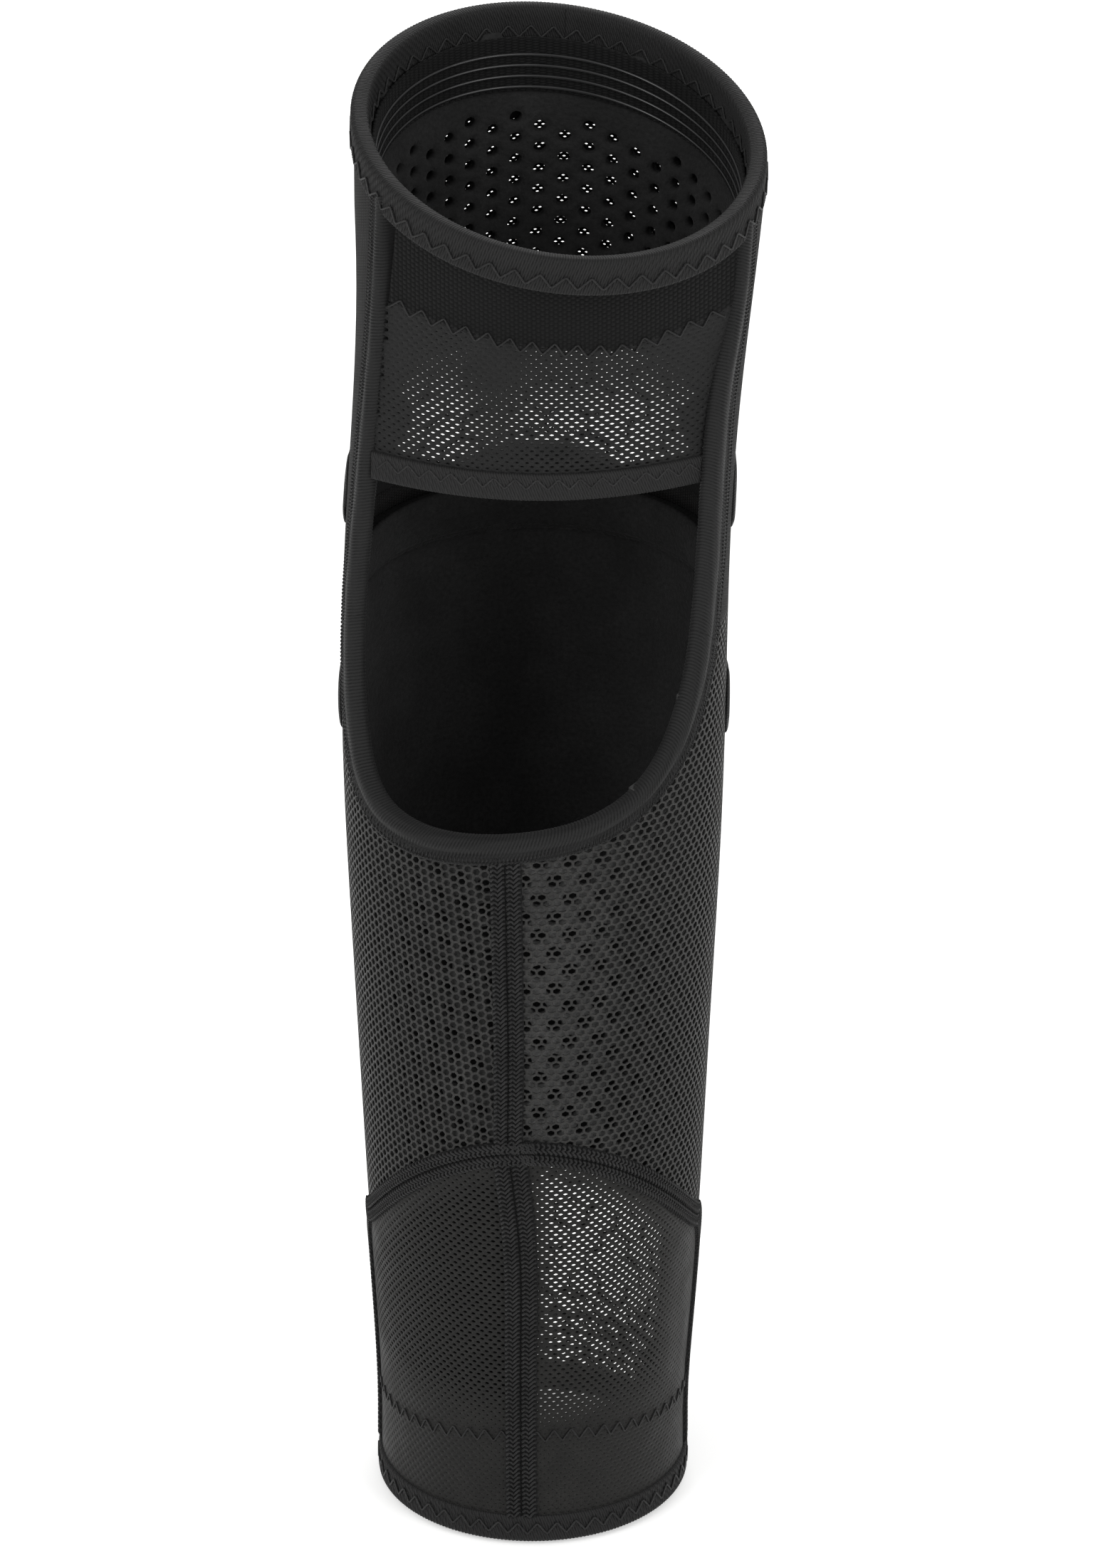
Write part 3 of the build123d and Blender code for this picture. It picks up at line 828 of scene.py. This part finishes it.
def hem_and_cuff():
    """The tape round the bottom hem, and the gripper band and silicone lines inside it."""
    u = np.linspace(-HALF_TURN, HALF_TURN, 1040, endpoint=False)
    binding("bottom_binding", "shin", u, 0 * u, 0 * u + HEM_HEIGHT, TAPE_PROFILE)
    spans = ((-HALF_TURN, HALF_TURN), (HEM_HEIGHT - 2, CUFF_TOP))
    pattern = lattice(spans, CUFF_NET, fade=lambda a, b: 1.0 * ((np.abs(a) > QUARTER) & in_window(a)))
    cuff = thick("bottom_gripper_band", *pattern, sleeve, (1.2, 2.2))
    on_body(cuff, "shin", "gripper_elastic", GRIPPER_BLACK, "bottom_gripper_band")
    u = np.linspace(-HALF_TURN, HALF_TURN, 241)
    rings = ring_lines(u, [level + 0 * u for level in BOTTOM_SILICONE], 2.6)
    silicone = tubes("bottom_silicone_lines", rings, 0.75, 8)
    on_body(silicone, "shin", "silicone", SILICONE_BLACK, "bottom_silicone_lines")


def opening_rolls():
    """The rolled binding round the opening: one piece below the folding line and one up each side."""
    count = 2400
    pick = np.linspace(0, 1, count)
    inner, outer = (
        np.stack([np.interp(pick, np.linspace(0, 1, len(line)), line[:, k]) for k in range(2)], -1)
        for line in (even_line(EDGE, 0.5), even_line(EDGE_BINDING, 0.5))
    )
    inner_u, outer_u = around(inner[:, 0], inner[:, 1]), around(outer[:, 0], outer[:, 1])
    middle_z = (inner[:, 1] + outer[:, 1]) / 2
    middle_u = (inner_u + outer_u) / 2
    above = (middle_z >= KNEE_Z - 0.2) & (middle_z < rim_height(middle_u) - RIM_WIDTH + 4)
    place, lowest = np.arange(count), int(np.argmin(middle_z))
    parts = (
        ("opening_binding", middle_z <= KNEE_Z + 0.2, False),
        ("edge_binding_left", above & (place < lowest), True),
        ("edge_binding_right", above & (place > lowest), True),
    )
    for name, chosen, upper in parts:
        a = sleeve(inner_u[chosen], inner[chosen, 1], 0.0)
        b = sleeve(outer_u[chosen], outer[chosen, 1], 0.0)
        out = sleeve_out(middle_u[chosen], middle_z[chosen])
        roll = sweep(name, a, b, out, ROLL_PROFILE, ripple=0.14, pitch=1.15, slant=0.9)
        on_fold(roll, upper, "elastic_tape", ROLL_BLACK, name)
        ladder, chevron = [], []
        low, line, high = (a * (1 - share) + b * share for share in (0.7, 0.82, 0.94))
        for i in range(2, len(line) - 4, 5):
            lift, outs = out[i] * 0.95 * MM, np.repeat(out[i][None], 3, 0)
            ladder.append((np.array([low[i], line[i] * 0.5 + low[i] * 0.5, line[i]]) + lift, outs))
            tip = [line[i] * 0.75 + high[i] * 0.25, line[i + 3] * 0.4 + high[i + 3] * 0.6, high[i]]
            chevron.append((np.array(tip) + lift, outs))
        stitches = tubes(name + "_stitching", ladder + chevron, 0.2, 4)
        on_fold(stitches, upper, "seam_thread", STITCH_BLACK)


# ---- seams and stitching
def seam_strip(name, places, half_width, height):
    """A raised overlocked seam along flat places, with its cross threads."""
    line = even_line(places, 0.8)
    way = np.gradient(line, axis=0)
    way /= np.linalg.norm(way, axis=1, keepdims=True)
    across = np.stack((way[:, 1], -way[:, 0]), -1) * half_width
    left, right = line - across, line + across
    a = sleeve(left[:, 0], left[:, 1], 0.0)
    b = sleeve(right[:, 0], right[:, 1], 0.0)
    out = sleeve_out(line[:, 0], line[:, 1])
    profile = [(0.0, -0.8), (0.0, 0.1)]
    profile += [(s, 0.1 + height * abs(math.sin(2 * math.pi * s)) ** 0.5) for s in np.linspace(0.04, 0.96, 15)]
    profile += [(1.0, 0.1), (1.0, -0.8), (0.5, -0.9)]
    strip = sweep(name, a, b, out, profile, ripple=0.12, pitch=1.9, slant=1.0)
    on_body(strip, "shin", "seam_thread", SEAM_BLACK, name)
    loops = []
    for i in range(2, len(line) - 3, 2):
        for column in (0.0, 0.5):
            share = column + np.linspace(0.04, 0.46, 7)
            lift = height * np.abs(np.sin(2 * math.pi * share)) ** 0.5 + 0.25
            start = np.clip(i + np.array((-1, 0, 0, -1, 0, 1, 1)), 0, len(line) - 1)
            points = a[start] * (1 - share[:, None]) + b[start] * share[:, None]
            loops.append((points + out[start] * lift[:, None] * MM, out[start]))
    threads = tubes(name + "_stitching", loops, 0.42, 5)
    on_body(threads, "shin", "seam_thread", STITCH_BLACK)


def seams():
    """The seams down the middle of the back and along the arch."""
    middle, lower = sum(SEAM_UPPER) / 2, sum(SEAM_LOWER) / 2
    places = ((middle, ARCH_TOP + 3), (middle + 0.5, 175), (middle + 0.3, 210), (middle, 245.5))
    seam_strip("back_seam_upper", places, 4.8, 0.9)
    places = ((lower + 0.6, HEM_HEIGHT - 1), (lower, 60), (lower, 103), (middle + 0.6, ARCH_TOP + 2))
    seam_strip("back_seam_lower", places, 5.8, 0.9)
    for side, sign in (("left", -1), ("right", 1)):
        u = sign * np.linspace(-3, 0.9 * QUARTER, 24)
        arch = np.stack((u, arch_height(u, ARCH_WIDTH / 2)), -1)
        end = sign * QUARTER
        places = np.vstack((arch, ((0.985 * end, 84), (end, 62), (end, 34), (end, HEM_HEIGHT - 1))))
        seam_strip(f"arch_seam_{side}", places, 4.2, 0.7)


def zigzag(name, body, places, stitch, surface=sleeve, outward=sleeve_out):
    """A zigzag stitch along flat places. The stitch is its wave length, width, thread radius and lift in mm."""
    wave, width, radius, lift = stitch
    line = even_line(places, 0.5)
    steps = np.linalg.norm(np.diff(line, axis=0), axis=1)
    along = np.concatenate(([0], np.cumsum(steps)))
    corners = np.linspace(0, along[-1], 2 * round(along[-1] / wave) + 1)
    at = np.unique(np.concatenate([corners + k * (corners[1] - corners[0]) for k in (0, 0.12, 0.5, 0.88)]))
    at = at[at <= along[-1]]
    phase = at / (corners[1] - corners[0])
    swing = np.clip((1 - 2 * np.abs(phase % 2 - 1)) * 1.15, -1, 1)
    flat = np.stack([np.interp(at, along, line[:, k]) for k in range(2)], -1)
    way = np.stack([np.interp(at, along, np.gradient(line[:, k])) for k in range(2)], -1)
    way /= np.linalg.norm(way, axis=1, keepdims=True)
    flat = flat + np.stack((-way[:, 1], way[:, 0]), -1) * swing[:, None] * width / 2
    out = outward(flat[:, 0], flat[:, 1])
    points = surface(flat[:, 0], flat[:, 1], 0.0) + out * lift * MM
    on_body(tubes(name, [(points, out)], radius, 6), body, "seam_thread", STITCH_BLACK)


def tape_stitching():
    """Zigzag stitching round the hem, the cuff and the rim, inside and out."""
    u = np.linspace(-HALF_TURN, HALF_TURN, 300)
    zigzag("hem_stitching", "shin", np.stack((u, 5.2 + 0 * u), -1), (7.2, 3.4, 0.33, 1.05))
    uneven = 4.5 * np.sin((u + 40) / 30) * np.exp(-((np.abs(u) - 20) / 60) ** 2) * 0.8
    zigzag("cuff_stitching", "shin", np.stack((u, 35 + uneven), -1), (6.4, 3.6, 0.28, 0.2))
    rim = rim_height(u)
    zigzag("rim_stitching", "thigh", np.stack((u, rim - 7.6), -1), (7.0, 3.4, 0.33, 1.05))
    places = np.stack((u, rim - 8.0), -1)
    stitch = (7.0, 3.4, 0.33, 0.35)
    inside = lambda a, b, depth: sleeve(a, b, 4.6), lambda a, b: -sleeve_out(a, b)
    zigzag("rim_stitching_inside", "thigh", places, stitch, *inside)


# ---- panels of the thigh
def thigh_front():
    """Knit, net and fine mesh over the front of the thigh, and the perforated foam behind them."""
    u, v = between(*front_span(), KNEE_Z, VENT_LOW + 5, 2.2)
    knee = grid("knee_shell", u, v, sleeve, (0.0, 1.2))
    on_fold(knee, True, "outer_knit", KNIT_BLACK, "knee_shell")
    u, v = between(*front_span(2), KNEE_Z, VENT_LOW - 2, 2.2)
    lining = grid("knee_lining", u, v, lined_sleeve, LINED)
    on_fold(lining, True, "lining", LINING_BLACK, "knee_lining")

    def vent_fade(a, b):
        low = VENT_LOW + 10 * ((a - FRONT) / 55) ** 2
        return 1.0 * ((np.abs(a - FRONT) < VENT_HALF_WIDTH) & (b > low))

    def knit_fade(a, b):
        return 1.0 - 0.9 * (b > rim_height(a) - RIM_WIDTH - 26) - 0.45 * (np.abs(a - FRONT) > 62)

    def foam_fade(a, b):
        under_gripper = b > rim_height(a) - RIM_WIDTH - 24
        return 1.0 - 1.0 * (under_gripper | (b < VENT_TOP + 6) | (np.abs(a - FRONT) > 80))

    spans = (front_span(7), (VENT_LOW - 1, VENT_TOP + 5))
    vent = thick("thigh_vent", *lattice(spans, VENT_NET, fade=vent_fade), sleeve, (0.1, 0.8))
    on_fold(vent, True, "open_mesh", FINE_THREAD, "thigh_vent")
    spans = (front_span(1), (VENT_TOP, THIGH_TOP))
    pattern = lattice(spans, THIGH_KNIT, lambda a, b: b < rim_height(a) - RIM_WIDTH + 4, fade=knit_fade)
    shell = thick("thigh_shell", *pattern, sleeve, (0.1, 0.7))
    on_body(shell, "thigh", "outer_knit", FINE_THREAD, "thigh_shell")
    spans = (front_span(4), (VENT_TOP + 1, THIGH_TOP))
    below_rim = lambda a, b: b < rim_height(a) - RIM_WIDTH
    pattern = lattice(spans, THIGH_FOAM, below_rim, turn=math.radians(90), corners=12, fade=foam_fade)
    foam = thick("thigh_foam", *pattern, sleeve, (1.6, 5.4))
    on_body(foam, "thigh", "foam", LINING_BLACK, "thigh_foam", "thigh_lining")


def lining_tapes():
    """Looped tape inside the front where the two linings meet, and the tape above the net."""
    u = np.linspace(*front_span(2), 500)
    out = sleeve_out(u, 0 * u + 316)
    profile = [(0.0, -5.2), (0.0, -6.2), (0.1, -6.7), (0.5, -7.0)]
    profile += [(0.9, -6.7), (1.0, -6.2), (1.0, -5.2), (0.5, -5.1)]
    terry = sweep("terry_tape", sleeve(u, 0 * u + 306.5), sleeve(u, 0 * u + 321), out, profile)
    on_fold(terry, True, "lining", LINING_BLACK)
    profile = [(0.0, -5.2), (0.0, -5.9), (0.2, -6.3), (0.8, -6.3), (1.0, -5.9), (1.0, -5.2), (0.5, -5.1)]
    tape = sweep("vent_tape_upper", sleeve(u, 0 * u + 369), sleeve(u, 0 * u + 377), out, profile, ripple=0.05)
    on_body(tape, "thigh", "lining", LINING_BLACK)


def thigh_sides():
    """Plain knit between the opening's edges and the front."""
    s = np.linspace(0, 1, 22)[None, :]
    t = np.linspace(0, 1, 70)[:, None]
    for side, sign in (("left", -1), ("right", 1)):
        edge = rear_edge(KNEE_Z + (SIDE_TOPS[side] - KNEE_Z + 4) * t + 0 * s, sign)
        u = edge * (1 - s) + sign * (QUARTER + 1) * s
        v = KNEE_Z + (rim_height(u) - RIM_WIDTH + 5 - KNEE_Z) * t
        knit = grid(f"thigh_side_{side}", u[:, ::sign], v[:, ::sign], sleeve, (0.0, 1.4))
        on_fold(knit, True, "outer_knit", KNIT_BLACK, f"thigh_side_{side}")


def top_rim():
    """The tape round the rim, and the gripper band and silicone lines inside the front."""
    u = np.linspace(-HALF_TURN, HALF_TURN, 1200, endpoint=False)
    rim = rim_height(u)
    binding("top_binding", "thigh", u, rim, rim - RIM_WIDTH, RIM_TAPE)
    t = np.linspace(0, 1, 18)[:, None]
    along = np.linspace(QUARTER * 0.86, QUARTER * 3.14, 160)[None, :] + 0 * t
    height = rim_height(along) - RIM_WIDTH + 2 - (GRIPPER_DEPTH - RIM_WIDTH + 2) * (1 - t)
    gripper = grid("top_gripper_band", along, height, sleeve, (5.5, 6.3))
    on_body(gripper, "thigh", "gripper_elastic", GRIPPER_BLACK, "top_gripper_band")
    u = np.linspace(QUARTER * 0.9, QUARTER * 3.1, 200)
    lines = ring_lines(u, [rim_height(u) - level for level in TOP_SILICONE], 6.4)
    silicone = tubes("top_silicone_lines", lines, 0.6, 8)
    on_body(silicone, "thigh", "silicone", SILICONE_BLACK, "top_silicone_lines")


def rear_band():
    """The elastic band across the opening: fine mesh, denser yoke, binding and stitching."""

    def panel(x, v):
        return (x > band_end(v, BAND_LEFT)) & (x < band_end(v, BAND_RIGHT)) & (v < yoke_height(x) + 1)

    def fade(x, v):
        """Smaller holes towards the yoke, in a strip left of the middle and at both ends."""
        strip = np.exp(-(((x + 10) / 9.0) ** 2))
        ends = np.clip((np.abs(x - 4) - 28) / 16, 0, 1)
        return 1.0 - 0.45 * np.clip((v - 385) / 16, 0, 1) - 0.35 * strip - 0.35 * ends

    pattern = lattice(((-50, 64), (BAND_LOW - 3, 424)), BAND_NET, panel, fade=fade)
    mesh = thick("band_mesh", *pattern, band, (0.2, 0.8))
    on_body(mesh, "thigh", "fine_mesh", FINE_THREAD, "band_mesh")
    t = np.linspace(0, 1, 26)[:, None]
    s = np.linspace(0, 1, 70)[None, :]
    x = band_end(425, BAND_LEFT) * (1 - s) + band_end(425, BAND_RIGHT) * s + 0 * t
    low = yoke_height(x)
    high = rim_height(around(x, 0 * x + 440)) - RIM_WIDTH + 4
    v = low + (high - low) * t
    x = x + np.where(x < 0, 9, 8) * (v - 425) / 90
    yoke = grid("band_yoke", x, v, band, (0.0, 1.3))
    on_body(yoke, "thigh", "outer_knit", YOKE_BLACK, "band_yoke")
    x = np.linspace(-47.5, 52.5, 300)
    lines = band(x, 0 * x + 356.5, 0.6), band(x, 0 * x + BAND_LOW, 0.6), band_out(x, 0 * x + 361)
    foot = sweep("band_binding", *lines, BAND_TAPE, ripple=0.15, pitch=1.2)
    on_body(foot, "thigh", "elastic_tape", TAPE_BLACK, "band_binding")
    x = np.linspace(-46, 51, 60)
    places = np.stack((x, 362.6 + 0 * x), -1)
    zigzag("band_stitching", "thigh", places, (6.6, 3.2, 0.3, 0.75), band, band_out)
    x = np.linspace(-42, 58, 60)
    places = np.stack((x, yoke_height(x)), -1)
    zigzag("yoke_stitching", "thigh", places, (6.6, 3.8, 0.28, 0.2), band, band_out)


# ---- pads
def settled(obj):
    """The mesh with its modifiers worked in."""
    bpy.context.view_layer.update()
    graph = bpy.context.evaluated_depsgraph_get()
    mesh = bpy.data.meshes.new_from_object(obj.evaluated_get(graph))
    old = obj.data
    obj.modifiers.clear()
    obj.data = mesh
    bpy.data.meshes.remove(old)


def coordinates(mesh):
    """A mesh's points in metres."""
    co = np.zeros(len(mesh.vertices) * 3)
    mesh.vertices.foreach_get("co", co)
    return co.reshape(-1, 3)


def stuffed_pad(node, body, voxel, swell, rounds=6, sink=0.0):
    """A pad filled and swollen from its CAD solid by a short cloth simulation, in mm.
    A pad that is sunk into the cloth is moved that far in towards the middle."""
    obj = bpy.data.objects.new(piece_name(node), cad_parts[node].data.copy())
    obj.data.name = obj.name
    bpy.context.collection.objects.link(obj)
    remesh = obj.modifiers.new("even", "REMESH")
    remesh.mode = "VOXEL"
    remesh.voxel_size = voxel * MM
    settled(obj)
    rest = coordinates(obj.data)
    cloth = obj.modifiers.new("fill", "CLOTH")
    cloth.settings.use_pressure = True
    cloth.settings.uniform_pressure_force = 4.0
    cloth.settings.effector_weights.gravity = 0.0
    cloth.settings.quality = 4
    cloth.point_cache.frame_start = 1
    cloth.point_cache.frame_end = 12
    for step in range(1, 13):
        bpy.context.scene.frame_set(step)
    settled(obj)
    moved = coordinates(obj.data) - rest
    far = np.linalg.norm(moved, axis=1, keepdims=True)
    moved *= np.minimum(1, swell * MM / np.maximum(far, 1e-9))
    obj.data.vertices.foreach_set("co", (rest + moved).ravel())
    bpy.context.scene.frame_set(1)
    smooth = obj.modifiers.new("soften", "SMOOTH")
    smooth.factor = 0.5
    smooth.iterations = rounds
    finer = obj.modifiers.new("finer", "SUBSURF")
    finer.levels = 1
    settled(obj)
    obj.data.polygons.foreach_set("use_smooth", np.full(len(obj.data.polygons), True))
    if sink:
        place = coordinates(obj.data)
        place[:, 0] -= np.sign(place[:, 0]) * sink * MM
        obj.data.vertices.foreach_set("co", place.ravel())
        on_fold(obj, body == "thigh", "pad_cover", COVER_BLACK, node)
    else:
        on_body(obj, body, "pad_cover", COVER_BLACK, node)


def ring_places(half_width, low, high, power):
    """A rounded outline on the front of the sleeve, as flat places."""
    turn = np.linspace(0, 2 * math.pi, 121)
    c, s = np.cos(turn), np.sin(turn)
    across = half_width * np.sign(c) * np.abs(c) ** power
    up = (high - low) / 2 * np.sign(s) * np.abs(s) ** power
    return np.stack((FRONT - np.arcsin(across / PAD_RADIUS) * RADIUS, (low + high) / 2 + up), -1)


def pad_stitching():
    """A row of stitches on the knit round each front pad."""
    stitch = (3.2, 1.5, 0.28, 0.2)
    for number, half in enumerate(PAD_HALF_WIDTHS):
        low = PAD_LOW + PAD_PITCH * number
        places = ring_places(half + 2.2, low - 1.6, low + PAD_HEIGHT + 1.6, 0.45)
        zigzag(f"pad_stitching_{number + 1}", "shin", places, stitch)
    zigzag("knee_cup_stitching", "knee", ring_places(45.5, KNEE_Z - 31.5, KNEE_Z + 31.5, 1.0), stitch)


def pads():
    """The shin's four pads, the knee cup and the small pads on both sides."""
    thick_pad = {"voxel": 2.4, "swell": 1.4}
    thin_pad = {"voxel": 1.1, "swell": 0.4, "rounds": 24, "sink": 1.1}
    for number in range(1, 5):
        stuffed_pad(f"shin_pad_{number}", "shin", **thick_pad)
    stuffed_pad("knee_cup", "knee", **thick_pad)
    for side in ("left", "right"):
        stuffed_pad(f"side_pad_{side}_lower", "shin", **thin_pad)
        stuffed_pad(f"side_pad_{side}_upper", "thigh", **thin_pad)


# ---- floor, light and camera
def stage():
    """The pale floor."""
    size = 6.0
    verts = [(-size, -size, 0), (size, -size, 0), (size, size, 0), (-size, size, 0)]
    floor = new_object("floor", np.array(verts) + [0, 0, -1.2 * MM], [np.array([[0, 1, 2, 3]])])
    floor.data.materials.append(floor_paint("floor"))


def area_light(name, place, aim, size, power):
    """A soft box at a place in metres, turned to its aim."""
    light = bpy.data.lights.new(name, "AREA")
    light.shape = "RECTANGLE"
    light.size, light.size_y = size
    light.energy = power
    obj = bpy.data.objects.new(name, light)
    obj.location = place
    obj.rotation_euler = (Vector(aim) - Vector(place)).to_track_quat("-Z", "Y").to_euler()
    bpy.context.collection.objects.link(obj)


def lights():
    """Even white surroundings and soft boxes to both sides."""
    world = bpy.data.worlds.new("studio")
    world.use_nodes = True
    background = world.node_tree.nodes["Background"]
    background.inputs["Color"].default_value = (1, 1, 1, 1)
    background.inputs["Strength"].default_value = 0.65
    bpy.context.scene.world = world
    bpy.context.scene.view_settings.view_transform = "Standard"
    # Place and aim in metres, size in metres, power in watts.
    area_light("soft_left", (-1.5, -1.6, 1.6), (0, 0, 0.25), (1.2, 1.6), 26)
    area_light("soft_right", (1.5, -1.3, 1.2), (0, 0, 0.22), (1.0, 1.6), 18)
    area_light("soft_front", (0.2, 2.2, 1.5), (0, 0, 0.25), (1.6, 1.2), 15)


def camera():
    """The photograph's view: from behind and above, through a long lens."""
    data = bpy.data.cameras.new("camera")
    data.lens = 207
    data.sensor_width = 36
    obj = bpy.data.objects.new("camera", data)
    obj.location = (0.086, -2.527, 1.4525)
    aim = Vector((0.004, 0.0, 0.2425))
    obj.rotation_euler = (aim - Vector(obj.location)).to_track_quat("-Z", "Y").to_euler()
    bpy.context.collection.objects.link(obj)
    bpy.context.scene.camera = obj


lower_mesh()
front_lining()
calf_panels()
shin_front()
hem_and_cuff()
opening_rolls()
seams()
tape_stitching()
thigh_front()
lining_tapes()
thigh_sides()
top_rim()
rear_band()
pads()
pad_stitching()
stage()
lights()
camera()
